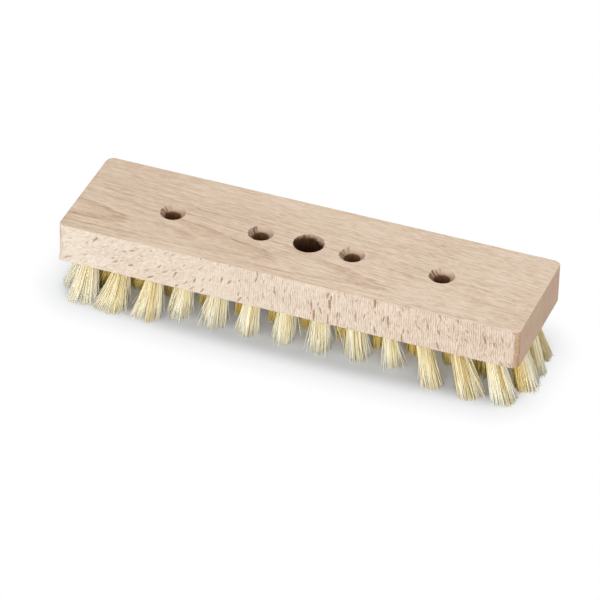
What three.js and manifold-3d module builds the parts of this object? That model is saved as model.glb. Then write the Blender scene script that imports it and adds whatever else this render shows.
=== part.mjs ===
// Floor scrub brush head: a beech block set with four rows of slanting plant-fibre tufts.
// Millimetres, +Z up. The origin is on the floor, under the middle of the block.
import * as THREE from 'three';
import { mergeVertices } from 'three/addons/utils/BufferGeometryUtils.js';
import Module from 'manifold-3d';

// Block
const BLOCK_LENGTH = 220;
const BLOCK_WIDTH = 60;
const BLOCK_HEIGHT = 19.5;
const FRONT_CORNER_CUT = 2.2;
const BACK_CORNER_RADIUS = 3.6;
const BLOCK_EDGE_EASE = 0.5;

// Holes in the top face, drilled a little off the middle
const HANDLE_HOLE_DIAMETER = 14;
const HANDLE_HOLE_FORWARD = 0.4;
const SCREW_HOLE_DIAMETER = 7.4;
const COUNTERSINK_DIAMETER = 11.8;
const COUNTERSINK_ANGLE = 90;
const INNER_SCREW_SPACING = 44;
const OUTER_SCREW_SPACING = 129.4;
const SCREW_HOLES_LEFT = 0.9;
const SCREW_HOLES_FORWARD = 1.2;
const HOLE_FLOOR_WEB = 1.5;

// Tuft rows, drilled a little to the left of the middle
const BRISTLE_LENGTH = 22.5;
const ROW_SIDE_MARGIN = 10;
const ROW_END_MARGIN = 14;
const INNER_END_MARGIN = 9;
const OUTER_ROW_TUFTS = 13;
const ROWS_LEFT = 2;
const ROW_NAMES = ['front_outer', 'front_inner', 'back_inner', 'back_outer'];
const TUFT_HOLE_DIAMETER = 7;

// Lean and spread of the tufts
const END_LEAN = 20;
const END_LEAN_POWER = 2;
const SIDE_LEAN = 13.5;
const SIDE_LEAN_TUFTS = 3;
const TIP_SPREAD = 5.2;
const TRIM_CUT = 0.5;

// Strands
const STRAND_RADIUS = 0.75;
const STRAND_SIDES = 3;
const RING_STRANDS = 6;
const CORE_STRANDS = 2;
const RING_FOOT_RADIUS = 2.9;
const CORE_FOOT_RADIUS = 1.1;

// Slice of the block's underside that carries each row of strands
const SLICE_THICKNESS = 2;
const SLICE_MARGIN = 0.8;
const SLICE_CORNER_RADIUS = 2;

// Tuft roots and the flat anchors in their folds, turned to the grain so that the wood doesn't split
const ANCHOR_THICKNESS = 0.5;
const ANCHOR_HEIGHT = 2.2;
const ANCHOR_BITE = 0.9;
const ANCHOR_TURN = 45;
const FOLD_THICKNESS = 1.5;
const ROOT_UNDER_ANCHOR = 1.4;

// Clearance and fineness
const FIT_GAP = 0.3;
const CUT_OVERSHOOT = 1;
const CORNER_SEGMENTS = 4;
const SLICE_CORNER_SEGMENTS = 2;
const HOLE_SIDES = 24;
const TUFT_HOLE_SIDES = 6;
const MERGE_TOLERANCE = 1e-4;

// Levels and places worked out from the sizes above
const underside = BRISTLE_LENGTH;
const topFace = underside + BLOCK_HEIGHT;
const anchorLevel = underside + SLICE_THICKNESS + ROOT_UNDER_ANCHOR + FIT_GAP + ANCHOR_HEIGHT / 2;
const foldTop = anchorLevel + ANCHOR_HEIGHT / 2 + FIT_GAP + FOLD_THICKNESS;
const tuftHoleTop = foldTop + FIT_GAP;
const topHoleFloor = tuftHoleTop + HOLE_FLOOR_WEB;
const outerRowY = BLOCK_WIDTH / 2 - ROW_SIDE_MARGIN;
const rowSpacing = (2 * outerRowY) / (ROW_NAMES.length - 1);
const outerReach = BLOCK_LENGTH / 2 - ROW_END_MARGIN;
const innerReach = BLOCK_LENGTH / 2 - INNER_END_MARGIN;
const pitch = (2 * outerReach) / (OUTER_ROW_TUFTS - 1);
const sliceWidth = TUFT_HOLE_DIAMETER + 2 * SLICE_MARGIN;
const anchorLength = TUFT_HOLE_DIAMETER + 2 * ANCHOR_BITE;

const wasm = await Module();
wasm.setup();

// A closed solid from a three.js geometry
function solid(geometry) {
  geometry.deleteAttribute('normal');
  geometry.deleteAttribute('uv');
  const merged = mergeVertices(geometry, MERGE_TOLERANCE);
  const mesh = new wasm.Mesh({
    numProp: 3,
    vertProperties: new Float32Array(merged.attributes.position.array),
    triVerts: new Uint32Array(merged.index.array),
  });
  return new wasm.Manifold(mesh);
}

function join(solids) {
  return solids.reduce((whole, piece) => whole.add(piece));
}

// A named mesh from a solid
function part(name, body, material) {
  const mesh = body.getMesh();
  const geometry = new THREE.BufferGeometry();
  geometry.setAttribute('position', new THREE.BufferAttribute(mesh.vertProperties, 3));
  geometry.setIndex(new THREE.BufferAttribute(mesh.triVerts, 1));
  geometry.computeVertexNormals();
  const made = new THREE.Mesh(geometry, material);
  made.name = name;
  return made;
}

function finish(color, roughness, metalness) {
  return new THREE.MeshStandardMaterial({ color, roughness, metalness });
}

// Flat cuts at the two front corners and round back corners
function blockOutline() {
  const endX = BLOCK_LENGTH / 2;
  const sideY = BLOCK_WIDTH / 2;
  const roundX = endX - BACK_CORNER_RADIUS;
  const roundY = sideY - BACK_CORNER_RADIUS;
  const quarter = Math.PI / 2;
  const shape = new THREE.Shape();
  shape.moveTo(-endX, FRONT_CORNER_CUT - sideY);
  shape.lineTo(FRONT_CORNER_CUT - endX, -sideY);
  shape.lineTo(endX - FRONT_CORNER_CUT, -sideY);
  shape.lineTo(endX, FRONT_CORNER_CUT - sideY);
  shape.absarc(roundX, roundY, BACK_CORNER_RADIUS, 0, quarter);
  shape.absarc(-roundX, roundY, BACK_CORNER_RADIUS, quarter, 2 * quarter);
  return shape;
}

function roundedRectangle(length, width, radius) {
  const x = length / 2 - radius;
  const y = width / 2 - radius;
  const quarter = Math.PI / 2;
  const shape = new THREE.Shape();
  shape.absarc(x, y, radius, 0, quarter);
  shape.absarc(-x, y, radius, quarter, 2 * quarter);
  shape.absarc(-x, -y, radius, 2 * quarter, 3 * quarter);
  shape.absarc(x, -y, radius, 3 * quarter, 4 * quarter);
  return shape;
}

// An upright prism between two levels, round or with few sides
function column(radius, low, high, sides) {
  const geometry = new THREE.CylinderGeometry(radius, radius, high - low, sides);
  geometry.rotateX(Math.PI / 2);
  geometry.translate(0, 0, (low + high) / 2);
  return geometry;
}

// Block with eased edges, before any hole is cut
function plainBlock() {
  const geometry = new THREE.ExtrudeGeometry(blockOutline(), {
    depth: BLOCK_HEIGHT - 2 * BLOCK_EDGE_EASE,
    bevelThickness: BLOCK_EDGE_EASE,
    bevelSize: BLOCK_EDGE_EASE,
    bevelOffset: -BLOCK_EDGE_EASE,
    bevelSegments: 1,
    curveSegments: CORNER_SEGMENTS,
  });
  geometry.translate(0, 0, underside + BLOCK_EDGE_EASE);
  return solid(geometry);
}

function handleHole() {
  const geometry = column(HANDLE_HOLE_DIAMETER / 2, topHoleFloor, topFace + CUT_OVERSHOOT, HOLE_SIDES);
  geometry.translate(0, -HANDLE_HOLE_FORWARD, 0);
  return solid(geometry);
}

function screwHole(x) {
  const bore = SCREW_HOLE_DIAMETER / 2;
  const mouth = COUNTERSINK_DIAMETER / 2;
  const halfAngle = THREE.MathUtils.degToRad(COUNTERSINK_ANGLE / 2);
  const sink = (mouth - bore) / Math.tan(halfAngle);
  const profile = [
    new THREE.Vector2(0, topHoleFloor),
    new THREE.Vector2(bore, topHoleFloor),
    new THREE.Vector2(bore, topFace - sink),
    new THREE.Vector2(mouth, topFace),
    new THREE.Vector2(mouth, topFace + CUT_OVERSHOOT),
    new THREE.Vector2(0, topFace + CUT_OVERSHOOT),
  ];
  const geometry = new THREE.LatheGeometry(profile, HOLE_SIDES);
  geometry.rotateX(Math.PI / 2);
  geometry.translate(x - SCREW_HOLES_LEFT, -SCREW_HOLES_FORWARD, 0);
  return solid(geometry);
}

function screwHoles() {
  const spacings = [INNER_SCREW_SPACING, OUTER_SCREW_SPACING];
  const places = spacings.flatMap((spacing) => [-spacing / 2, spacing / 2]);
  return places.map(screwHole);
}

// Lean of a tuft, as the sideways run of its tip for each millimetre of length
function leanAt(x, y, slantsSideways) {
  const run = (angle) => Math.tan(THREE.MathUtils.degToRad(angle));
  const nearEnd = (Math.abs(x) / outerReach) ** END_LEAN_POWER;
  const towardsEnd = Math.sign(x) * run(END_LEAN) * nearEnd;
  const towardsSide = slantsSideways ? Math.sign(y) * run(SIDE_LEAN) : 0;
  return { alongX: towardsEnd, alongY: towardsSide };
}

// Outer rows: evenly spaced, with the tufts near both ends slanting outwards
function outerRow(y) {
  const numbers = [...Array(OUTER_ROW_TUFTS).keys()];
  return numbers.map((number) => {
    const x = number * pitch - outerReach - ROWS_LEFT;
    const fromEnd = Math.min(number, OUTER_ROW_TUFTS - 1 - number);
    return { x, y, lean: leanAt(x, y, fromEnd < SIDE_LEAN_TUFTS) };
  });
}

// Inner rows: staggered half a pitch, with one more tuft close to each end of the block
function innerRow(y) {
  const numbers = [...Array(OUTER_ROW_TUFTS - 1).keys()];
  const between = numbers.map((number) => (number + 1 / 2) * pitch - outerReach - ROWS_LEFT);
  return [-innerReach, ...between, innerReach].map((x) => ({ x, y, lean: leanAt(x, y, false) }));
}

const rows = ROW_NAMES.map((name, number) => {
  const y = number * rowSpacing - outerRowY;
  return { name, y, tufts: name.endsWith('outer') ? outerRow(y) : innerRow(y) };
});

// Places of a tuft's strands at its foot, round its axis
function strandPlaces() {
  const ring = (count, radius) => [...Array(count).keys()].map((number) => {
    const angle = (number * 2 * Math.PI) / count;
    return { x: radius * Math.cos(angle), y: radius * Math.sin(angle) };
  });
  return [...ring(CORE_STRANDS, CORE_FOOT_RADIUS), ...ring(RING_STRANDS, RING_FOOT_RADIUS)];
}

// One strand, from inside its slice to just past the floor
function strand(tuft, place) {
  const widen = (TIP_SPREAD - RING_FOOT_RADIUS) / RING_FOOT_RADIUS / BRISTLE_LENGTH;
  const runX = tuft.lean.alongX + place.x * widen;
  const runY = tuft.lean.alongY + place.y * widen;
  const geometry = column(STRAND_RADIUS, -BRISTLE_LENGTH - TRIM_CUT, SLICE_THICKNESS / 2, STRAND_SIDES);
  geometry.applyMatrix4(new THREE.Matrix4().makeShear(0, 0, 0, 0, -runX, -runY));
  geometry.translate(tuft.x + place.x, tuft.y + place.y, underside);
  return solid(geometry);
}

// The strip under one row of tufts, grown by a gap where it is the block's groove
function strip(row, low, high, gap) {
  const places = row.tufts.map((tuft) => tuft.x);
  const first = Math.min(...places);
  const last = Math.max(...places);
  const width = sliceWidth + 2 * gap;
  const outline = roundedRectangle(last - first + width, width, SLICE_CORNER_RADIUS + gap);
  const geometry = new THREE.ExtrudeGeometry(outline, {
    depth: high - low,
    bevelEnabled: false,
    curveSegments: SLICE_CORNER_SEGMENTS,
  });
  geometry.translate((first + last) / 2, row.y, low);
  return solid(geometry);
}

// The anchor's plate, grown by a gap where it is a pocket
function anchorPlate(tuft, gap) {
  const sides = [ANCHOR_THICKNESS, anchorLength, ANCHOR_HEIGHT].map((side) => side + 2 * gap);
  const geometry = new THREE.BoxGeometry(...sides);
  geometry.rotateZ(THREE.MathUtils.degToRad(ANCHOR_TURN));
  geometry.translate(tuft.x, tuft.y, anchorLevel);
  return solid(geometry);
}

// The folded root of a tuft in its hole
function root(tuft) {
  const radius = TUFT_HOLE_DIAMETER / 2 - FIT_GAP;
  const geometry = column(radius, underside + SLICE_THICKNESS / 2, foldTop, TUFT_HOLE_SIDES);
  geometry.translate(tuft.x, tuft.y, 0);
  return solid(geometry).subtract(anchorPlate(tuft, FIT_GAP));
}

function tuftHole(tuft) {
  const geometry = column(TUFT_HOLE_DIAMETER / 2, underside, tuftHoleTop, TUFT_HOLE_SIDES);
  geometry.translate(tuft.x, tuft.y, 0);
  return solid(geometry).add(anchorPlate(tuft, FIT_GAP));
}

function block() {
  const grooveTop = underside + SLICE_THICKNESS + FIT_GAP;
  const grooves = rows.map((row) => strip(row, underside - CUT_OVERSHOOT, grooveTop, FIT_GAP));
  const tuftHoles = rows.flatMap((row) => row.tufts.map(tuftHole));
  return plainBlock().subtract(join([handleHole(), ...screwHoles(), ...grooves, ...tuftHoles]));
}

// One row of bristles: its slice, the roots in it and the strands, trimmed flat at the floor
function bristleRow(row) {
  const slice = strip(row, underside, underside + SLICE_THICKNESS, 0);
  const roots = row.tufts.map(root);
  const strands = row.tufts.flatMap((tuft) => strandPlaces().map((place) => strand(tuft, place)));
  const floor = new THREE.BoxGeometry(2 * BLOCK_LENGTH, 2 * BLOCK_WIDTH, BRISTLE_LENGTH);
  floor.translate(0, row.y, -BRISTLE_LENGTH / 2);
  return join([slice, ...roots, ...strands]).subtract(solid(floor));
}

const brush = new THREE.Group();
brush.name = 'scrub_brush_head';
brush.add(part('beech_block', block(), finish(0xdcc3a8, 0.65, 0)));

for (const row of rows) {
  brush.add(part(`bristle_row_${row.name}`, bristleRow(row), finish(0xd9c99c, 0.7, 0)));
}

const tufts = rows.flatMap((row) => row.tufts);
tufts.forEach((tuft, index) => {
  const number = String(index + 1).padStart(2, '0');
  brush.add(part(`tuft_anchor_${number}`, anchorPlate(tuft, 0), finish(0xb4b6b8, 0.4, 1)));
});

export default brush;
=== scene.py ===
"""Looks of a floor scrub brush head: a beech block, rows of fibre tufts and their steel anchors."""

import math
import random

import bpy
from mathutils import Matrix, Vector, noise


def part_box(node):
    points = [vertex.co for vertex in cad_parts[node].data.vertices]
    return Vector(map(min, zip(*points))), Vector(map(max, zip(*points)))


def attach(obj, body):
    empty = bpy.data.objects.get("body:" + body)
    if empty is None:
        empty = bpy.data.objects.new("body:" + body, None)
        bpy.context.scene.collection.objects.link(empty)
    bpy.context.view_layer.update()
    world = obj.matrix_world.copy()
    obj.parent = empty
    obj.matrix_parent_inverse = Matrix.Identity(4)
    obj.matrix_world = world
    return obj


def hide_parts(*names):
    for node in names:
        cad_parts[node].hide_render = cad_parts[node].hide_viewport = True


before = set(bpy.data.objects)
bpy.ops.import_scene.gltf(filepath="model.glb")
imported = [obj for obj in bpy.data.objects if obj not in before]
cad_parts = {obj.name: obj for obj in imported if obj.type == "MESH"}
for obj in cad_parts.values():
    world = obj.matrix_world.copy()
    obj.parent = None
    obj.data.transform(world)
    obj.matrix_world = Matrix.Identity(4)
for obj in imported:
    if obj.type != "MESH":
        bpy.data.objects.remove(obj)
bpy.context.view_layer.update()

# Lengths are in millimetres in this script and in metres in Blender
MM = 0.001

# Camera of the photograph
CAMERA_PLACE = (584.46, -1622.90, 1238.17)
CAMERA_TURN = (54.5475, -1.2892, 20.8365)
CAMERA_LENS = 280.08
CAMERA_SENSOR = 36

# Sky
WHITE = (1, 1, 1, 1)
SKY_COLOUR = (0.97, 0.985, 1.0, 1)
SKY_STRENGTH = 0.625

# Lamps: each one's name, place, size and power
LAMP_COLOUR = (1.0, 0.985, 0.96)
LAMPS = (
    ("key", (-700, -1250, 700), 1000, 4.4),
    ("fill", (200, -1560, 240), 440, 15),
    ("side", (700, -1250, 600), 600, 6.6),
    ("back", (-100, 1500, 280), 800, 8),
)

# Floor, and the outline of the shadow on it, which is narrower towards its ends
FLOOR_REACH = 3000
FLOOR_COLOUR = (0.665, 0.692, 0.74, 1)
FLOOR_ROUGHNESS = 0.9
SHADOW_MIDDLE = -2.5
SHADOW_HALF_LENGTH = 97.5
SHADOW_HALF_WIDTH = 21
SHADOW_BOW = 4.5
BOW_MIDDLE = 12
BOW_REACH = 100

# How the floor turns white: from which distance off the outline to which, and by what share. The
# last fade is painted light, a tenth of white glowing beneath the brush to lift its shadow
FLOOR_FADES = ((4.5, 18, 0.6), (8, 32, 0.4), (6, 0, 0.1))

# Block
BLOCK_LOW, BLOCK_HIGH = (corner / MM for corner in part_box("beech_block"))
UNDERSIDE = BLOCK_LOW.z
TOP_FACE = BLOCK_HIGH.z
BACK_CORNER_RADIUS = 3.6
LEFT_CORNER_CUT = 2.2
LEFT_CUT_RUNOUT = 3.5
RIGHT_CORNER_CUT = (2.6, 1.9)
CORNER_STEPS = 12
EDGE_EASE = 0.4
EASE_STEPS = 3
SIDE_STEPS = 8

# Cuts of wood on the block in the order of its material slots, and what tells its faces apart
TOP, SIDE, END, BORE, CORNER = range(5)
LEVEL_NORMAL = 0.95
CORNER_NORMAL = 0.3
FACE_MARGIN = 0.01

# Holes in the top face
HOLE_FLOOR = 32
HOLE_RIM = 0.2
HOLE_SIDES = 96
HOLE_RINGS = 10
HANDLE_HOLE_RADIUS = 7
HANDLE_HOLE_PLACE = (0, -0.4)
SCREW_HOLE_RADIUS = 3.7
COUNTERSINK_RADIUS = 5.9
SCREW_PLACES = ((-65.6, -1.2), (-22.9, -1.2), (21.1, -1.2), (63.8, -1.2))
CUT_OVERSHOOT = 1

# Torn walls of these holes: the angle of the most torn side, the depths of its tear and its chip
HANDLE_TEAR = (math.radians(22), 0.5, 0.1)
SCREW_TEAR = (math.radians(165), 0.6, 0)
TEAR_ELSEWHERE = 0.12
TEAR_ROUND = 9
TEAR_DOWN = 0.25
CHIP_DEPTH = 3

# What tells the handle hole's wall apart, and where the painted shade in the others begins
HANDLE_NEAR = HANDLE_HOLE_RADIUS + 2
SCREW_SHADE_START = COUNTERSINK_RADIUS - SCREW_HOLE_RADIUS - 0.35

# Sockets of a mix node that are for colours
MIX_FIRST, MIX_SECOND, MIX_RESULT = 6, 7, 2

# Kinds of noise: detail and roughness
SMOOTH = (2, 0.5)
SMOOTH_FINE = (3, 0.5)
GRAINY = (2, 0.6)
GRAINY_FINE = (3, 0.6)
PITTED = (3, 0.65)
TORN = (3, 0.7)

# Growth rings on the top face: arches with a pointed apex, bent less behind their axis
RING_AXIS = -18.6
RING_SLANT = 0.04
RING_BEND = 0.9
RING_UNBEND = 0.58
RING_WOBBLE = 34
RING_FADE = 26
RING_EDGE = 4

# How far along the apex of each arch is, and how dark its ring
ARCHES = ((-84, 0.30), (-49, 0.14), (-14, 0.22), (40, 0.20), (118, 0.16), (190, 0.12))

# Fine grain on the top face: its slant, and where its streaks and ripples grow stronger
GRAIN_SLANT = 0.055
RIPPLE_TURN = -24
TOP_STREAK_RANGE = (18, 4)
RIPPLE_RANGE = (-40, 90)

# Flecks in the long sides: how small they get, how ragged they are and how they fade
FLECK_SMALLEST = 0.3
FLECK_RAGGED = 1.6
FLECK_EDGE = (1.05, 0.45)
FLECK_CHOICE = 0.35
LARGE_FLECKS = {"cell": 4.3, "length": 5.0, "width": 1.3, "share": 0.62, "jitter": 40}
SMALL_FLECKS = {"cell": 2.6, "length": 2.4, "width": 0.7, "share": 0.5, "jitter": 50}
STREAKS = {"cell": 7, "length": 12, "width": 1.6, "share": 0.75, "jitter": 10}

# Their angle in degrees: slanted at the left, upright in the middle and leaning back at the right
SLANT_ANGLE = 33
UPRIGHT_ANGLE = 90
UPRIGHT_TURN = 57
UPRIGHT_RANGE = (-75, 5)
LEANING_TURN = 30
LEANING_RANGE = (38, 62)

# Where the streaks are along the long sides, and the lines that a saw left there
STREAK_SHIFT = 27
STREAKS_START = (-14, 6)
STREAKS_STOP = (92, 70)
SAW_PITCH = 1.05
SAW_SWAY = 9
SHALLOW_TURN = 27

# Corner cuts: the turn of their lines, and where they grow darker inwards and to the right
CUT_TURN = 45
CUT_INWARD_RANGE = (BLOCK_LOW.y + 0.7, BLOCK_LOW.y + 2.2)
CUT_RIGHTWARD_RANGE = (-60, 60)

# Colours as a screen shows them, 0 to 255. In a ramp each has its place, 0 to 1
TOP_RAMP = (
    (0.0, (172, 138, 111)),
    (0.35, (206, 175, 149)),
    (0.65, (224, 199, 174)),
    (1.0, (237, 217, 195)),
)
TOP_CREAM = (217, 200, 168)
SIDE_RAMP = (
    (0.0, (156, 131, 111)),
    (0.35, (186, 168, 151)),
    (0.6, (198, 184, 168)),
    (1.0, (213, 202, 189)),
)
SIDE_FLECK = (126, 101, 79)
SIDE_STREAK = (142, 106, 80)
END_RAMP = ((0.0, (163, 125, 102)), (0.5, (203, 167, 145)), (1.0, (223, 193, 171)))
END_PATCH = (194, 175, 138)
LEFT_CUT_RAMP = ((0.0, (185, 162, 141)), (0.5, (211, 195, 179)), (1.0, (227, 215, 202)))
RIGHT_CUT_RAMP = ((0.0, (124, 95, 72)), (0.5, (167, 139, 112)), (1.0, (194, 167, 141)))
TORN_RAMP = ((0.0, (120, 90, 68)), (0.4, (182, 156, 132)), (1.0, (222, 201, 180)))
BORE_SPLIT = (98, 68, 48)
BORE_TEAR = (92, 58, 40)
BORE_RIM = (150, 116, 92)
# Painted shade deep in the holes, from dark brown to mid brown
BORE_SHADE_RAMP = ((0.0, (58, 33, 13)), (0.5, (115, 77, 47)), (1.0, (166, 128, 98)))
STRAW_RAMP = (
    (0.0, (157, 128, 69)),
    (0.25, (194, 167, 105)),
    (0.5, (227, 212, 165)),
    (0.75, (237, 230, 203)),
    (1.0, (242, 239, 225)),
)
# Straw as it looks in shade, for painted shade on the fibres
SHADED_STRAW_RAMP = ((0.0, (190, 149, 38)), (0.5, (233, 195, 75)), (1.0, (245, 219, 120)))
STEEL_RAMP = ((0.0, (128, 129, 131)), (1.0, (186, 187, 189)))

# Holes and places of the tufts
TUFT_HOLE_RADIUS = 3.5
TUFT_HOLE_DEPTH = 8
TUFT_HOLE_SIDES = 24
OUTER_ROW = 20
INNER_ROW = 20 / 3
OUTER_REACH = 96
INNER_REACH = 101
OUTER_TUFTS = 13
ROWS_LEFT = 2
END_MARGIN = 1
TUFT_PITCH = 2 * OUTER_REACH / (OUTER_TUFTS - 1)

# Fibres
SEED = 7
SEEN_STRANDS = 440
HIDDEN_STRANDS = 260
STRAND_STEPS = 3
STRAND_SIDES = 4
STRAND_RADIUS = (0.1, 0.19)
STRAND_BOW = 0.35
TIP_SWELL = 0.1
TRIM_SWAY = 0.5
ROOT_DEPTH = 3
FOOT_RADIUS = 3.2
CLUMPS = 8
CLUMP_PULL = 0.2
CLUMP_SWAY = 0.4
TIP_WANDER = 0.6
STRAY_SHARE = 0.07
STRAY_WANDER = 2.4

# Tints of the fibres: how golden they are and how much deeper than pale straw. Gold and the deeper
# tint set by tuft are painted shade, save the splayed tufts' deeper tint
FIBRE_LAYERS = ("fibre_tint", "fibre_shade_gold", "fibre_along")
PALE_SHARE = 0.8
PALE_TINT = 0.77
DARK_TINT = 0.55
TINT_SWAY = 0.08
# Painted shade: the rows behind, seen only through the gaps, are golden straw as fibres in shade
# look
HIDDEN_SHADE_GOLD = 0.88
# Painted shade on the right end's tufts: golden and deeper towards their inner and front side
END_SHADE_GOLD = 0.5
END_SHADE_DEPTH = 0.36
END_SHADE = 0.5
END_SHADE_ALONG = 0.9
END_SHADE_ACROSS = 0.3
# Painted shade on the last tuft of the back outer row at the right end, which stands behind others
BACK_SHADE_GOLD = 0.2
BACK_SHADE_DEPTH = 0.2
# Painted shade: a deeper golden streak right of each tuft's middle, on its side away from the key
# lamp
SHADED_STREAK_GOLD = 0.04
SHADED_STREAK_DEPTH = 0.2
SHADED_STREAK_REACH = 0.4
SHADED_STREAK_PLACE = (0.2, 0.6)
SPLAYED_FROM = 60
SPLAYED_DEPTH = 0.12

# Usual set of the tufts in the rows behind: how they lean along and across, and their spread
END_LEAN = 8.1
BEHIND_LEAN = -2
END_PUSH = 6
BACK_FAN = 0.5
BACK_WIDE_FAN = 5.5
BACK_WIDE_TUFTS = (1, 2)
FRONT_INNER_FAN = 2
BACK_INNER_FAN = 0
TIP_SPREAD = 1.55
END_SPREAD = 1.8
EVEN_CURL = 1

# Tufts of the front outer row from left to right: lean along and across, spread and curl
FRONT_SET = (
    (-2, -5.2, 2, 1.4),
    (-4.4, -4.6, 2.6, 1.5),
    (-2.7, -5, 2.3, 1.6),
    (-5.2, 2, 1.7, 0.8),
    (-4.4, 2.8, 1.95, 0.8),
    (-2.6, 0.2, 1.3, 0.8),
    (-2, 1.2, 1.5, 0.8),
    (-0.6, 0.8, 1.5, 1),
    (0.7, 2.8, 1.6, 1),
    (2.7, 1.5, 1.1, 1),
    (7, -5.4, 1.6, 1.3),
    (9.6, -5.8, 1.85, 1.35),
    (9.2, -4.2, 1.9, 1),
)

# Five tufts at or near the ends of the rows behind: row, number in it and set in the same terms
ODD_TUFTS = (
    ("front_inner", 0, (-6.5, -7.5, 1.8, 1)),
    ("front_inner", 1, (-7.5, -2, 1.9, 1)),
    ("front_inner", -2, (2.8, 0.5, 2, 1)),
    ("back_inner", -1, (9, -6, 1.15, 1)),
    ("back_outer", -1, (14, -6.5, 1.5, 1)),
)


def metres(*millimetres):
    """A point in metres."""
    return Vector(millimetres) * MM


def srgb(red, green, blue):
    """A colour from its values on a screen, 0 to 255."""
    def linear(value):
        share = value / 255
        if share <= 0.04045:
            return share / 12.92
        return ((share + 0.055) / 1.055) ** 2.4
    return (linear(red), linear(green), linear(blue), 1)


class Nodes:
    """A tree of shader nodes and the steps that add to it."""

    def __init__(self, tree):
        self.tree = tree

    def feed(self, socket, value):
        """Links a socket to another one, or sets its value."""
        if isinstance(value, bpy.types.NodeSocket):
            self.tree.links.new(value, socket)
        else:
            socket.default_value = value

    def add(self, kind, inputs, **settings):
        """A node with its settings and inputs."""
        node = self.tree.nodes.new(kind)
        for key, value in settings.items():
            setattr(node, key, value)
        for key, value in inputs.items():
            self.feed(node.inputs[key], value)
        return node

    def math(self, operation, first, second=0.0):
        """One step of arithmetic on sockets or numbers."""
        return self.add("ShaderNodeMath", {0: first, 1: second}, operation=operation).outputs[0]

    def times(self, first, second):
        """The product of two sockets or numbers."""
        return self.math("MULTIPLY", first, second)

    def minus(self, first, second):
        """What is left of one socket or number after taking away another."""
        return self.math("SUBTRACT", first, second)

    def total(self, *terms):
        """The sum of several sockets or numbers."""
        result = terms[0]
        for term in terms[1:]:
            result = self.math("ADD", result, term)
        return result

    def weighed(self, *pairs):
        """The sum of several sockets, each times its weight."""
        return self.total(*[self.times(value, weight) for value, weight in pairs])

    def line(self, value, slope, start):
        """A socket times a slope, plus a start."""
        return self.total(self.times(value, slope), start)

    def step(self, value, start, end):
        """A smooth step from 0 at start to 1 at end."""
        inputs = {"Value": value, "From Min": start, "From Max": end, "To Min": 0.0, "To Max": 1.0}
        return self.add("ShaderNodeMapRange", inputs, interpolation_type="SMOOTHSTEP").outputs[0]

    def place(self):
        """The object's own x, y and z in millimetres."""
        coordinates = self.add("ShaderNodeTexCoord", {}).outputs["Object"]
        split = self.add("ShaderNodeSeparateXYZ", {0: coordinates})
        return [self.times(axis, 1 / MM) for axis in split.outputs]

    def seen(self):
        """1 for rays that see a surface directly, in a shine or through glass, and 0 for others."""
        rays = self.add("ShaderNodeLightPath", {}).outputs
        either = self.math("MAXIMUM", rays["Is Camera Ray"], rays["Is Glossy Ray"])
        return self.math("MAXIMUM", either, rays["Is Transmission Ray"])

    def scaled(self, axes, sizes):
        """A vector in which one unit along each axis is as long as the size given for it."""
        parts = [self.math("DIVIDE", axis, size) for axis, size in zip(axes, sizes)]
        return self.add("ShaderNodeCombineXYZ", dict(enumerate(parts))).outputs[0]

    def clouds(self, axes, sizes, kind=SMOOTH):
        """Noise about zero, its grains as large as the sizes."""
        detail, roughness = kind
        inputs = {"Scale": 1.0, "Detail": detail, "Roughness": roughness}
        inputs["Vector"] = self.scaled(axes, sizes)
        return self.minus(self.add("ShaderNodeTexNoise", inputs).outputs[0], 0.5)

    def turned(self, first, second, angle):
        """Two axes turned by an angle in degrees, a number or a socket."""
        radians = self.math("RADIANS", angle)
        cosine = self.math("COSINE", radians)
        sine = self.math("SINE", radians)
        along = self.weighed((first, cosine), (second, sine))
        across = self.minus(self.times(second, cosine), self.times(first, sine))
        return along, across

    def flecks(self, axes, angle, ragged, cell, length, width, share, jitter):
        """Scattered slender spots, each at its own size and angle: 1 inside one and 0 outside."""
        flat = self.scaled(axes, (cell, cell))
        inputs = {"Vector": flat, "Scale": 1.0}
        cells = self.add("ShaderNodeTexVoronoi", inputs, voronoi_dimensions="2D").outputs
        inputs = {0: flat, 1: cells["Position"]}
        away = self.add("ShaderNodeVectorMath", inputs, operation="SUBTRACT").outputs[0]
        offset = self.add("ShaderNodeSeparateXYZ", {0: away}).outputs
        chosen, sized, tilted = self.add("ShaderNodeSeparateColor", {0: cells["Color"]}).outputs
        turn = self.total(angle, self.times(self.minus(tilted, 0.5), jitter))
        along, across = self.turned(offset[0], offset[1], turn)
        size = self.line(sized, 1 - FLECK_SMALLEST, FLECK_SMALLEST)
        long = self.math("DIVIDE", along, self.times(size, length / cell / 2))
        wide = self.math("DIVIDE", across, self.times(size, width / cell / 2))
        square = self.weighed((long, long), (wide, wide))
        reach = self.total(self.math("SQRT", square), self.times(ragged, FLECK_RAGGED))
        picked = self.step(chosen, 1 - share, 1 - share * FLECK_CHOICE)
        return self.times(self.step(reach, *FLECK_EDGE), picked)

    def blend(self, share, first, second):
        """A colour between two."""
        inputs = {0: share, MIX_FIRST: first, MIX_SECOND: second}
        return self.add("ShaderNodeMix", inputs, data_type="RGBA").outputs[MIX_RESULT]

    def ramp(self, value, stops):
        """A colour looked up between stops of place and colour."""
        node = self.add("ShaderNodeValToRGB", {0: value})
        while len(node.color_ramp.elements) < len(stops):
            node.color_ramp.elements.new(1)
        for element, (place, colour) in zip(node.color_ramp.elements, stops):
            element.position = place
            element.color = srgb(*colour)
        return node.outputs[0]


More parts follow.
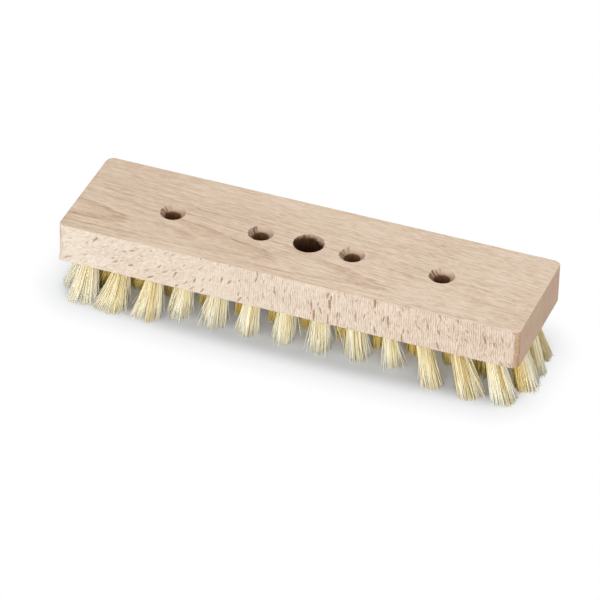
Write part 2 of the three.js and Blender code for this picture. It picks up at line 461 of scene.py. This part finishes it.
class Material(Nodes):
    """A material and the nodes that feed its shader."""

    def __init__(self, name):
        self.material = bpy.data.materials.new(name)
        self.material.use_nodes = True
        super().__init__(self.material.node_tree)
        self.shader = self.tree.nodes["Principled BSDF"]
        self.output = self.tree.nodes["Material Output"]

    def finish(self, colour, roughness, height=None, depth=0.1, specular=0.3):
        """Sets the shader's colour, roughness and shine, and a relief of a depth in millimetres."""
        self.feed(self.shader.inputs["Base Color"], colour)
        self.feed(self.shader.inputs["Roughness"], roughness)
        self.shader.inputs["Specular IOR Level"].default_value = specular
        if height is not None:
            inputs = {"Height": height, "Strength": 1.0, "Distance": depth * MM}
            bump = self.add("ShaderNodeBump", inputs)
            self.feed(self.shader.inputs["Normal"], bump.outputs[0])
        return self.material


def beech_top():
    """Plain-sawn beech: pointed arches of rings, streaks that follow them and fine ripples."""
    n = Material("beech_top")
    x, y, z = n.place()
    offset = n.minus(n.total(y, n.times(x, RING_SLANT)), RING_AXIS)
    behind = n.math("GREATER_THAN", offset, 0.0)
    bend = n.minus(RING_BEND, n.times(behind, RING_UNBEND))
    arch = n.times(n.times(offset, offset), bend)
    wobble = n.clouds((x, y, z), (38, 7, 40), SMOOTH_FINE)
    ring = n.total(x, arch, n.times(wobble, RING_WOBBLE))
    dark = []
    for apex, strength in ARCHES:
        late = n.times(n.step(ring, apex - RING_FADE, apex), n.step(ring, apex + RING_EDGE, apex))
        dark.append((late, -strength))
    slanted = n.total(y, n.times(x, GRAIN_SLANT))
    streak = n.clouds((ring, x, z), (26, 90, 40), GRAINY_FINE)
    streak = n.times(streak, n.line(n.step(y, *TOP_STREAK_RANGE), 0.7, 0.25))
    fibre = n.clouds((x, slanted, z), (45, 0.7, 30), GRAINY_FINE)
    ripple = n.clouds((x, slanted, z), (5, 0.5, 30), GRAINY)
    rippled = n.line(n.step(x, *RIPPLE_RANGE), 0.6, 1.25)
    cross = n.clouds((*n.turned(x, y, RIPPLE_TURN), z), (3.2, 0.8, 30), GRAINY)
    patch = n.clouds((x, y, z), (40, 16, 40))
    tone = n.weighed(
        *dark,
        (streak, 0.38),
        (fibre, 0.7),
        (ripple, rippled),
        (cross, 0.35),
        (patch, 0.4),
        (x, 0.0006),
    )
    grain = n.ramp(n.total(tone, 0.68), TOP_RAMP)
    hue = n.step(n.clouds((x, y, z), (15, 9, 30), SMOOTH_FINE), -0.1, 0.3)
    colour = n.blend(n.times(hue, 0.18), grain, srgb(*TOP_CREAM))
    rough = n.line(fibre, 0.2, 0.62)
    height = n.weighed((ripple, 0.7), (cross, 0.3), (fibre, 0.3))
    return n.finish(colour, rough, height, depth=0.16)


def beech_side():
    """The long sides: pale pitted beech, its flecks and lines slanted at the left, then upright."""
    n = Material("beech_side")
    x, y, z = n.place()
    ragged = n.clouds((x, y, z), (0.7, 9, 0.7), GRAINY)
    upright = n.step(x, *UPRIGHT_RANGE)
    leaning = n.step(x, *LEANING_RANGE)
    angle = n.total(n.weighed((upright, UPRIGHT_TURN), (leaning, LEANING_TURN)), SLANT_ANGLE)
    large = n.flecks((x, z), angle, ragged, **LARGE_FLECKS)
    small = n.flecks((z, x), n.minus(UPRIGHT_ANGLE, angle), ragged, **SMALL_FLECKS)
    fleck = n.math("MAXIMUM", large, n.times(small, n.line(upright, -0.2, 0.45)))
    moved = n.total(x, STREAK_SHIFT)
    streaky = n.times(n.step(x, *STREAKS_START), n.step(x, *STREAKS_STOP))
    streak = n.times(n.flecks((moved, z), UPRIGHT_ANGLE, ragged, **STREAKS), streaky)
    shallow = n.clouds((*n.turned(x, z, SHALLOW_TURN), y), (2.6, 0.75, 9), GRAINY_FINE)
    hatch = n.clouds((x, z, y), (0.4, 3.0, 9), GRAINY)
    lines = n.weighed((shallow, n.minus(1.0, upright)), (hatch, n.times(upright, 1.15)))
    pits = n.clouds((x, y, z), (0.95, 9, 0.85), PITTED)
    sway = n.times(n.clouds((x, y, z), (6, 9, 2.5)), SAW_SWAY)
    saw = n.math("SINE", n.total(n.times(x, 2 * math.pi / SAW_PITCH), sway))
    patch = n.clouds((x, y, z), (22, 20, 12))
    tone = n.weighed(
        (lines, 1.2),
        (pits, n.line(upright, -0.4, 0.75)),
        (saw, n.times(upright, 0.13)),
        (patch, 0.35),
        (x, -0.0012),
    )
    base = n.ramp(n.total(tone, 0.46), SIDE_RAMP)
    torn = n.blend(n.times(fleck, 0.75), base, srgb(*SIDE_FLECK))
    colour = n.blend(n.times(streak, 0.95), torn, srgb(*SIDE_STREAK))
    rough = n.line(pits, 0.2, 0.68)
    height = n.weighed((lines, 0.5), (pits, 0.6), (fleck, -0.5))
    return n.finish(colour, rough, height, depth=0.28)


def beech_end():
    """The block's sawn ends: darker end grain with faint lines, fine pores and patches of tint."""
    n = Material("beech_end")
    x, y, z = n.place()
    line = n.clouds((x, y, z), (20, 0.8, 9), GRAINY_FINE)
    pore = n.clouds((x, y, z), (20, 0.35, 0.35), GRAINY)
    patch = n.clouds((x, y, z), (20, 9, 7))
    tone = n.weighed((line, 0.6), (pore, 0.4), (patch, 0.4))
    grain = n.ramp(n.total(tone, 0.55), END_RAMP)
    hue = n.step(n.clouds((x, y, z), (20, 7, 6)), -0.12, 0.16)
    colour = n.blend(n.times(hue, 0.6), grain, srgb(*END_PATCH))
    rough = n.line(pore, 0.2, 0.72)
    height = n.weighed((line, 0.4), (pore, 0.4))
    return n.finish(colour, rough, height, depth=0.12)


def beech_corner():
    """The flat cuts at the front corners: sawn across the grain, darker at the right end."""
    n = Material("beech_corner")
    x, y, z = n.place()
    line = n.clouds((*n.turned(x, y, CUT_TURN), z), (0.4, 20, 3.5), GRAINY_FINE)
    pore = n.clouds((x, y, z), (0.8, 0.8, 0.8), GRAINY)
    inward = n.step(y, *CUT_INWARD_RANGE)
    rightward = n.step(x, *CUT_RIGHTWARD_RANGE)
    tone = n.total(n.weighed((line, 1.2), (pore, 1.0), (inward, -0.3)), 0.6)
    left = n.ramp(tone, LEFT_CUT_RAMP)
    right = n.ramp(tone, RIGHT_CUT_RAMP)
    colour = n.blend(rightward, left, right)
    rough = n.line(pore, 0.2, 0.75)
    height = n.weighed((line, 0.6), (pore, 0.4))
    return n.finish(colour, rough, height, depth=0.2)


def beech_bore():
    """Walls of the drilled holes: torn wood near the rim, painted dark brown shade further in, and
    painted light on the walls that face the lamps.
    """
    n = Material("beech_bore")
    x, y, z = n.place()
    centres = sorted((*SCREW_PLACES, HANDLE_HOLE_PLACE))
    middle = centres[0][0]
    for (left, _), (right, _) in zip(centres, centres[1:]):
        passed = n.math("GREATER_THAN", x, (left + right) / 2)
        middle = n.total(middle, n.times(passed, right - left))
    from_x = n.minus(x, middle)
    from_y = n.minus(y, SCREW_PLACES[0][1])
    angle = n.math("ARCTAN2", from_y, from_x)
    depth = n.minus(TOP_FACE, z)
    tear = n.clouds((x, y, z), (0.5, 0.5, 4), TORN)
    lines = n.clouds((angle, depth, middle), (0.19, 6, 5), GRAINY)
    blotch = n.clouds((x, y, z), (1.2, 1.2, 1.2), GRAINY)
    handle = n.math("LESS_THAN", n.math("ABSOLUTE", x), HANDLE_NEAR)
    leftward = n.step(from_x, -1.5, -4.0)
    # Painted light: the walls that face the lamps, at the back and on the handle hole's right, stay
    # pale deeper down
    lit_back = n.step(from_y, 0.5, 4.5)
    lit_side = n.step(n.weighed((from_x, 0.8), (from_y, 0.6)), 4.0, 7.2)
    # Painted shade begins at a depth: from the rim on the handle hole's shaded left and front,
    # deeper on its lit sides, and just above the countersinks' foot in the others
    handle_shade_start = n.total(n.weighed((lit_side, 2.2), (lit_back, 1.9)), -1.3)
    start = n.total(SCREW_SHADE_START, n.times(handle, n.minus(handle_shade_start, SCREW_SHADE_START)))
    ragged = n.times(tear, n.line(handle, 1.8, 1.0))
    uneven = n.times(blotch, n.line(handle, 4.2, 0.6))
    past = n.minus(n.total(depth, ragged, uneven), start)
    shade = n.step(past, n.line(handle, -0.5, -0.3), n.line(handle, 0.9, 0.7))
    # Torn wood near the rim, painted a little paler on the back walls as lit
    torn_tone = n.total(n.weighed((tear, 0.8), (lit_back, 0.22)), 0.42)
    torn_deep = n.times(handle, n.line(tear, 1.5, -0.08))
    wood = n.ramp(n.total(torn_tone, torn_deep), TORN_RAMP)
    split = n.times(n.step(lines, -0.02, 0.1), n.line(leftward, 0.75, 0.05))
    deepest = n.times(n.step(tear, 0.02, 0.16), n.times(handle, 0.7))
    rim = n.times(n.step(depth, 0.9, 0.3), n.times(handle, 0.35))
    for share, tint in ((split, BORE_SPLIT), (deepest, BORE_TEAR), (rim, BORE_RIM)):
        wood = n.blend(share, wood, srgb(*tint))
    # The colour of the painted shade, darker in the handle hole
    shade_tone = n.total(n.weighed((tear, 1.2), (handle, -0.5)), 0.62)
    colour = n.blend(shade, wood, n.ramp(shade_tone, BORE_SHADE_RAMP))
    rough = n.line(tear, 0.2, 0.8)
    height = n.minus(tear, n.times(split, 0.6))
    return n.finish(colour, rough, height, depth=0.3)


def fibre():
    """Plant fibre: each strand has its own straw tint, deepened at the root and turned golden where
    shaded by painted shade, and a paler tip that is split ends and partly painted light.
    """
    n = Material("fibre")
    layers = [n.add("ShaderNodeAttribute", {}, attribute_name=key) for key in FIBRE_LAYERS]
    tint, shade_gold, along = [layer.outputs["Fac"] for layer in layers]
    mottle = n.clouds(n.place(), (0.9, 0.9, 3.5))
    # Paler tips: the fibres' split ends, and partly painted light
    tip = n.times(n.step(along, 0.55, 1.0), 0.14)
    # Painted shade: a deeper tint towards the root, under the block
    root = n.times(n.step(along, 0.6, 0.1), 0.14)
    tone = n.minus(n.total(tint, n.times(mottle, 0.25), tip), root)
    # Painted shade: where the shade gold layer says, the fibre takes the golden straw of shade
    colour = n.blend(shade_gold, n.ramp(tone, STRAW_RAMP), n.ramp(tone, SHADED_STRAW_RAMP))
    rough = n.line(mottle, 0.2, 0.55)
    return n.finish(colour, rough, n.times(mottle, 0.5), depth=0.05)


def drawn_steel():
    """Flat drawn steel wire: fine lines along it and a dull shine."""
    n = Material("drawn_steel")
    line = n.clouds(n.place(), (0.6, 0.6, 0.08), GRAINY_FINE)
    colour = n.ramp(n.total(line, 0.5), STEEL_RAMP)
    n.shader.inputs["Metallic"].default_value = 1.0
    rough = n.line(line, 0.3, 0.38)
    return n.finish(colour, rough, line, depth=0.02, specular=0.5)


def mesh_object(name, points, faces):
    """An object from points in millimetres and faces."""
    mesh = bpy.data.meshes.new(name)
    mesh.from_pydata([metres(*point) for point in points], [], faces)
    piece = bpy.data.objects.new(name, mesh)
    bpy.context.scene.collection.objects.link(piece)
    return piece


def circle(centre, z, radii, turn=0):
    """Points round a centre at one height, one for each radius."""
    points = []
    for side, radius in enumerate(radii):
        angle = turn + 2 * math.pi * side / len(radii)
        x = centre[0] + radius * math.cos(angle)
        points.append((x, centre[1] + radius * math.sin(angle), z))
    return points


def front_cut(side, z):
    """How far a front corner is cut back at one height: the left cut runs out at the bottom."""
    share = (z - UNDERSIDE) / (TOP_FACE - UNDERSIDE)
    if side > 0:
        return RIGHT_CORNER_CUT[0] + (RIGHT_CORNER_CUT[1] - RIGHT_CORNER_CUT[0]) * share
    runout = min(1, (z - UNDERSIDE) / LEFT_CUT_RUNOUT)
    return max(EDGE_EASE, LEFT_CORNER_CUT * math.sin(math.pi / 2 * runout))


def outline(inset, z):
    """The block's outline at one height: flat cuts at the front corners, round back corners."""
    radius = BACK_CORNER_RADIUS - inset
    far = BLOCK_HIGH.x - inset
    deep = BLOCK_HIGH.y - inset
    points = []
    for corner, side in enumerate((1, -1)):
        for step in range(CORNER_STEPS + 1):
            angle = math.pi / 2 * (corner + step / CORNER_STEPS)
            x = side * (far - radius) + radius * math.cos(angle)
            points.append((x, deep - radius + radius * math.sin(angle), z))
    for side in (-1, 1):
        cut = front_cut(side, z) - inset * (2 - math.sqrt(2))
        ends = [(side * far, cut - deep, z), (side * (far - cut), -deep, z)]
        points.extend(ends if side < 0 else reversed(ends))
    return points


def loft(name, rings):
    """A closed solid through rings of equally many points."""
    count = len(rings[0])
    points = [point for ring in rings for point in ring]
    faces = [tuple(reversed(range(count)))]
    for level in range(len(rings) - 1):
        for step in range(count):
            following = (step + 1) % count
            low = level * count
            high = low + count
            faces.append((low + step, low + following, high + following, high + step))
    faces.append(tuple(range(len(points) - count, len(points))))
    return mesh_object(name, points, faces)


def plain_block():
    """The block before its holes, with eased edges."""
    rings = []
    for step in range(EASE_STEPS + 1):
        angle = math.pi / 2 * step / EASE_STEPS
        inset = EDGE_EASE * (1 - math.sin(angle))
        rings.append(outline(inset, UNDERSIDE + EDGE_EASE * (1 - math.cos(angle))))
    for step in range(1, SIDE_STEPS):
        rings.append(outline(0, UNDERSIDE + EDGE_EASE + LEFT_CUT_RUNOUT * step / SIDE_STEPS))
    for step in range(EASE_STEPS + 1):
        angle = math.pi / 2 * step / EASE_STEPS
        inset = EDGE_EASE * (1 - math.cos(angle))
        rings.append(outline(inset, TOP_FACE - EDGE_EASE * (1 - math.sin(angle))))
    return loft("beech_block_look", rings)


def between(profile, share):
    """The radius and height at a share of the way along a profile's points."""
    place = share * (len(profile) - 1)
    index = min(int(place), len(profile) - 2)
    part = place - index
    return [low + (high - low) * part for low, high in zip(profile[index], profile[index + 1])]


def bore(name, centre, profile, torn, tear, chip):
    """A turned cutter with a torn wall and a chipped rim, both most so at one angle."""
    rings = []
    levels = HOLE_RINGS * (len(profile) - 1)
    for level in range(levels + 1):
        radius, z = between(profile, level / levels)
        shallow = max(0, 1 - max(0, TOP_FACE - z) / CHIP_DEPTH)
        spots = circle(centre, z * TEAR_DOWN, [TEAR_ROUND] * HOLE_SIDES)
        radii = []
        for side, spot in enumerate(spots):
            facing = max(0, math.cos(2 * math.pi * side / HOLE_SIDES - torn)) ** 2
            torn_by = tear * (facing + TEAR_ELSEWHERE) * noise.noise(spot)
            radii.append(radius + torn_by + chip * facing * shallow)
        rings.append(circle(centre, z, radii))
    return loft(name, rings)


def bore_cutters():
    """Cutters of the handle hole and the four countersunk holes."""
    handle = (
        (HANDLE_HOLE_RADIUS, HOLE_FLOOR),
        (HANDLE_HOLE_RADIUS, TOP_FACE - HOLE_RIM),
        (HANDLE_HOLE_RADIUS + HOLE_RIM, TOP_FACE),
        (HANDLE_HOLE_RADIUS + HOLE_RIM, TOP_FACE + CUT_OVERSHOOT),
    )
    screw = (
        (SCREW_HOLE_RADIUS, HOLE_FLOOR),
        (SCREW_HOLE_RADIUS, TOP_FACE - (COUNTERSINK_RADIUS - SCREW_HOLE_RADIUS)),
        (COUNTERSINK_RADIUS, TOP_FACE),
        (COUNTERSINK_RADIUS + HOLE_RIM, TOP_FACE + CUT_OVERSHOOT),
    )
    cutters = [bore("handle_cutter", HANDLE_HOLE_PLACE, handle, *HANDLE_TEAR)]
    for number, place in enumerate(SCREW_PLACES):
        cutters.append(bore(f"screw_cutter_{number}", place, screw, *SCREW_TEAR))
    return cutters


def tuft_cutters(places):
    """Cutters of the blind tuft holes."""
    cutters = []
    radii = [TUFT_HOLE_RADIUS] * TUFT_HOLE_SIDES
    heights = (UNDERSIDE - CUT_OVERSHOOT, UNDERSIDE + TUFT_HOLE_DEPTH)
    for number, place in enumerate(places):
        rings = [circle(place, z, radii) for z in heights]
        cutters.append(loft(f"tuft_cutter_{number}", rings))
    return cutters


def carve(piece, cutters):
    """Cuts the cutters out of a piece and removes them."""
    group = bpy.data.collections.new("cutters")
    for cutter in cutters:
        group.objects.link(cutter)
    cut = piece.modifiers.new("holes", "BOOLEAN")
    cut.operation = "DIFFERENCE"
    cut.solver = "EXACT"
    cut.operand_type = "COLLECTION"
    cut.collection = group
    graph = bpy.context.evaluated_depsgraph_get()
    carved = bpy.data.meshes.new_from_object(piece.evaluated_get(graph))
    piece.modifiers.clear()
    piece.data = carved
    for cutter in cutters:
        bpy.data.objects.remove(cutter)
    bpy.data.collections.remove(group)


def wood_cut(face):
    """Which cut of wood a face of the block shows."""
    x, y, z = face.center / MM
    normal = face.normal
    inside_x = abs(x) < BLOCK_HIGH.x - BACK_CORNER_RADIUS
    inside_y = abs(y) < BLOCK_HIGH.y - BACK_CORNER_RADIUS
    if inside_x and inside_y and UNDERSIDE + FACE_MARGIN < z < TOP_FACE - FACE_MARGIN:
        return BORE
    if abs(normal.z) > LEVEL_NORMAL:
        return TOP
    if normal.y < -CORNER_NORMAL and abs(normal.x) > CORNER_NORMAL:
        return CORNER
    return END if abs(normal.x) > abs(normal.y) else SIDE


def block(places):
    """The beech block with its holes, each face in the cut of wood that it shows."""
    piece = plain_block()
    carve(piece, bore_cutters() + tuft_cutters(places))
    for material in (beech_top(), beech_side(), beech_end(), beech_bore(), beech_corner()):
        piece.data.materials.append(material)
    for face in piece.data.polygons:
        face.material_index = wood_cut(face)
    return piece


def lean_at(x):
    """How far a tuft's tip leans along the block: outwards, and more towards the ends."""
    share = x / OUTER_REACH
    return END_LEAN * share * abs(share)


def outer_places(y):
    """Feet of an outer row."""
    return [(TUFT_PITCH * number - OUTER_REACH - ROWS_LEFT, y) for number in range(OUTER_TUFTS)]


def inner_places(y):
    """Feet of an inner row: half a pitch along from the outer row's, and one more at each end."""
    start = TUFT_PITCH / 2 - OUTER_REACH - ROWS_LEFT
    middle = [(TUFT_PITCH * number + start, y) for number in range(OUTER_TUFTS - 1)]
    return [(-INNER_REACH, y)] + middle + [(INNER_REACH, y)]


def at_end(x):
    """Whether a tuft is the last one at either end of its row."""
    return abs(x + ROWS_LEFT) > OUTER_REACH - END_MARGIN


def hidden(foot):
    """Whether a tuft stands behind others, seen only through their gaps."""
    return abs(foot[1]) < OUTER_ROW and not at_end(foot[0])


def usual_set(foot, fan):
    """A tuft's lean along and across, spread and curl: end tufts are pushed to the front."""
    lean = lean_at(foot[0])
    if at_end(foot[0]):
        return (lean, fan - END_PUSH, END_SPREAD, EVEN_CURL)
    return (lean + BEHIND_LEAN, fan, TIP_SPREAD, EVEN_CURL)


def rows():
    """The four rows: each tuft's foot and how it is set."""
    back_outer = []
    for number, foot in enumerate(outer_places(OUTER_ROW)):
        from_end = min(number, OUTER_TUFTS - 1 - number)
        fan = BACK_WIDE_FAN if from_end in BACK_WIDE_TUFTS else BACK_FAN
        back_outer.append((foot, usual_set(foot, fan)))
    front_feet = inner_places(-INNER_ROW)
    back_feet = inner_places(INNER_ROW)
    tufts = {
        "front_outer": list(zip(outer_places(-OUTER_ROW), FRONT_SET)),
        "front_inner": [(foot, usual_set(foot, FRONT_INNER_FAN)) for foot in front_feet],
        "back_inner": [(foot, usual_set(foot, BACK_INNER_FAN)) for foot in back_feet],
        "back_outer": back_outer,
    }
    for row, number, tuft_set in ODD_TUFTS:
        foot, _ = tufts[row][number]
        tufts[row][number] = (foot, tuft_set)
    return tufts


def tuft_clumps(chance):
    """Clumps that a tuft's fibres gather in: each one's foot from the axis and its tip's sway."""
    clumps = []
    for number in range(CLUMPS):
        radius = FOOT_RADIUS * math.sqrt((number + 0.5) / CLUMPS)
        angle = chance.uniform(0, 2 * math.pi)
        foot = Vector((radius * math.cos(angle), radius * math.sin(angle)))
        sway = Vector((chance.gauss(0, CLUMP_SWAY), chance.gauss(0, CLUMP_SWAY)))
        clumps.append((foot, sway))
    return clumps


def strand_path(chance, foot, tuft_set, clumps):
    """Points of one fibre from its root in the wood to its cut tip."""
    lean_along, lean_across, spread, curl = tuft_set
    radius = FOOT_RADIUS * math.sqrt(chance.random())
    angle = chance.uniform(0, 2 * math.pi)
    across = Vector((radius * math.cos(angle), radius * math.sin(angle)))
    nearest, sway = min(clumps, key=lambda clump: (clump[0] - across).length)
    gathered = across + (nearest - across) * CLUMP_PULL
    strays = chance.random() < STRAY_SHARE and not at_end(foot[0])
    wander = STRAY_WANDER if strays else TIP_WANDER
    drift = Vector((chance.gauss(0, wander), chance.gauss(0, wander)))
    root = Vector(foot) + across
    reach = Vector((lean_along, lean_across)) + gathered * spread - across + sway + drift
    bow = Vector((chance.gauss(0, STRAND_BOW), chance.gauss(0, STRAND_BOW)))
    tip = abs(chance.gauss(0, TRIM_SWAY))
    start = UNDERSIDE + ROOT_DEPTH
    points = []
    for step in range(STRAND_STEPS + 1):
        share = step / STRAND_STEPS
        flat = root + reach * share ** curl + bow * math.sin(math.pi * share)
        points.append((flat.x, flat.y, start + (tip - start) * share))
    return points


def shade_gold_at(foot, root, streak):
    """How golden and how much deeper a fibre is, by its tuft and its place in it: painted shade,
    save the splayed tufts' deeper tint.
    """
    along = (root[0] - foot[0]) / FOOT_RADIUS
    across = (root[1] - foot[1]) / FOOT_RADIUS
    if hidden(foot):
        return HIDDEN_SHADE_GOLD, 0
    if foot[0] > OUTER_REACH - TUFT_PITCH and foot[1] == OUTER_ROW:
        return BACK_SHADE_GOLD, BACK_SHADE_DEPTH
    if at_end(foot[0]) and foot[0] > 0 and foot[1] > -OUTER_ROW:
        shade = END_SHADE - END_SHADE_ALONG * along - END_SHADE_ACROSS * across
        share = min(1, max(0, shade))
        return END_SHADE_GOLD * share, END_SHADE_DEPTH * share
    share = max(0, 1 - abs(along - streak) / SHADED_STREAK_REACH)
    splayed = abs(foot[0]) > SPLAYED_FROM and not at_end(foot[0])
    return SHADED_STREAK_GOLD * share, SHADED_STREAK_DEPTH * share + SPLAYED_DEPTH * splayed


def strand_tint(chance, depth):
    """Where a fibre lies between brown and white: most are pale straw and some darker."""
    usual = PALE_TINT if chance.random() < PALE_SHARE else DARK_TINT
    return min(1, max(0, chance.gauss(usual, TINT_SWAY) - depth))


def tube_faces(start):
    """Faces of one fibre whose points begin at a number: its sides, its root and its tip."""
    faces = []
    for step in range(STRAND_STEPS):
        for side in range(STRAND_SIDES):
            following = (side + 1) % STRAND_SIDES
            high = start + step * STRAND_SIDES
            low = high + STRAND_SIDES
            faces.append((high + side, low + side, low + following, high + following))
    last = start + STRAND_STEPS * STRAND_SIDES
    faces.append(tuple(range(start, start + STRAND_SIDES)))
    faces.append(tuple(reversed(range(last, last + STRAND_SIDES))))
    return faces


def bristles(name, tufts, chance):
    """One row of tufts as a mesh of fibres, each fibre with its tint."""
    points = []
    faces = []
    layers = {key: [] for key in FIBRE_LAYERS}
    for foot, tuft_set in tufts:
        clumps = tuft_clumps(chance)
        # Where on this tuft its painted shaded streak lies
        streak = chance.uniform(*SHADED_STREAK_PLACE)
        for _ in range(HIDDEN_STRANDS if hidden(foot) else SEEN_STRANDS):
            path = strand_path(chance, foot, tuft_set, clumps)
            shade_gold, depth = shade_gold_at(foot, path[0], streak)
            tint = strand_tint(chance, depth)
            thickness = chance.uniform(*STRAND_RADIUS)
            turn = chance.uniform(0, 2 * math.pi)
            faces.extend(tube_faces(len(points)))
            for step, (x, y, z) in enumerate(path):
                share = step / STRAND_STEPS
                radius = thickness * (1 + TIP_SWELL * share)
                points.extend(circle((x, y), z, [radius] * STRAND_SIDES, turn))
                for key, value in zip(FIBRE_LAYERS, (tint, shade_gold, share)):
                    layers[key].extend([value] * STRAND_SIDES)
    piece = mesh_object(name, points, faces)
    for face in piece.data.polygons:
        face.use_smooth = True
    for key, values in layers.items():
        layer = piece.data.attributes.new(key, "FLOAT", "POINT")
        layer.data.foreach_set("value", values)
    return piece


def floor():
    """A pale floor that takes the shadow: plain white further out, and beneath the brush a little
    white glow, painted light that lifts the shadow.
    """
    n = Material("floor_white")
    x, y, _ = n.place()
    past_end = n.minus(n.math("ABSOLUTE", n.minus(x, SHADOW_MIDDLE)), SHADOW_HALF_LENGTH)
    from_bow = n.math("DIVIDE", n.minus(x, BOW_MIDDLE), BOW_REACH)
    bow = n.times(n.math("POWER", from_bow, 2), SHADOW_BOW)
    past_side = n.minus(n.total(n.math("ABSOLUTE", y), bow), SHADOW_HALF_WIDTH)
    reaches = [n.math("MAXIMUM", past, 0.0) for past in (past_end, past_side)]
    distance = n.math("SQRT", n.total(*[n.math("POWER", reach, 2) for reach in reaches]))
    fades = [(n.step(distance, start, end), share) for start, end, share in FLOOR_FADES]
    share = n.times(n.weighed(*fades), n.seen())
    matt = n.finish(FLOOR_COLOUR, FLOOR_ROUGHNESS, specular=0.0)
    white = n.add("ShaderNodeEmission", {"Color": WHITE, "Strength": 1.0})
    inputs = {0: share, 1: n.shader.outputs[0], 2: white.outputs[0]}
    mix = n.add("ShaderNodeMixShader", inputs)
    n.feed(n.output.inputs["Surface"], mix.outputs[0])
    far = FLOOR_REACH
    corners = ((-far, -far, 0), (far, -far, 0), (far, far, 0), (-far, far, 0))
    piece = mesh_object("floor", corners, [(0, 1, 2, 3)])
    piece.data.materials.append(matt)


def sky():
    """An even pale sky, plain white where it is seen."""
    world = bpy.data.worlds.new("studio")
    bpy.context.scene.world = world
    world.use_nodes = True
    n = Nodes(world.node_tree)
    n.tree.nodes.clear()
    even = n.add("ShaderNodeBackground", {"Color": SKY_COLOUR, "Strength": SKY_STRENGTH})
    white = n.add("ShaderNodeBackground", {"Color": WHITE, "Strength": 1.0})
    inputs = {0: n.seen(), 1: even.outputs[0], 2: white.outputs[0]}
    mix = n.add("ShaderNodeMixShader", inputs)
    n.add("ShaderNodeOutputWorld", {"Surface": mix.outputs[0]})


def lamp(name, place, size, power):
    """A round soft lamp that faces the brush."""
    light = bpy.data.lights.new(name, "AREA")
    light.shape = "DISK"
    light.size = size * MM
    light.energy = power
    light.color = LAMP_COLOUR
    piece = bpy.data.objects.new(name, light)
    piece.location = metres(*place)
    piece.rotation_euler = (-piece.location).to_track_quat("-Z", "Y").to_euler()
    bpy.context.scene.collection.objects.link(piece)


def camera():
    """The camera where the photograph was taken from."""
    lens = bpy.data.cameras.new("camera")
    lens.lens = CAMERA_LENS
    lens.sensor_width = CAMERA_SENSOR
    eye = bpy.data.objects.new("camera", lens)
    eye.location = metres(*CAMERA_PLACE)
    eye.rotation_euler = [math.radians(angle) for angle in CAMERA_TURN]
    bpy.context.scene.collection.objects.link(eye)
    bpy.context.scene.camera = eye


def build():
    """Makes every piece and ties it to the frame."""
    camera()
    sky()
    for settings in LAMPS:
        lamp(*settings)
    floor()
    tufts = rows()
    feet = [foot for row in tufts.values() for foot, _ in row]
    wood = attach(block(feet), "root")
    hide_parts("beech_block")
    straw = fibre()
    chance = random.Random(SEED)
    for name, row in tufts.items():
        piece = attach(bristles(f"bristles_{name}", row, chance), "root")
        piece.data.materials.append(straw)
        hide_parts(f"bristle_row_{name}")
    steel = drawn_steel()
    for name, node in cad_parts.items():
        if name.startswith("tuft_anchor"):
            node.data.materials.clear()
            node.data.materials.append(steel)


bpy.context.scene.view_settings.view_transform = "Standard"
build()
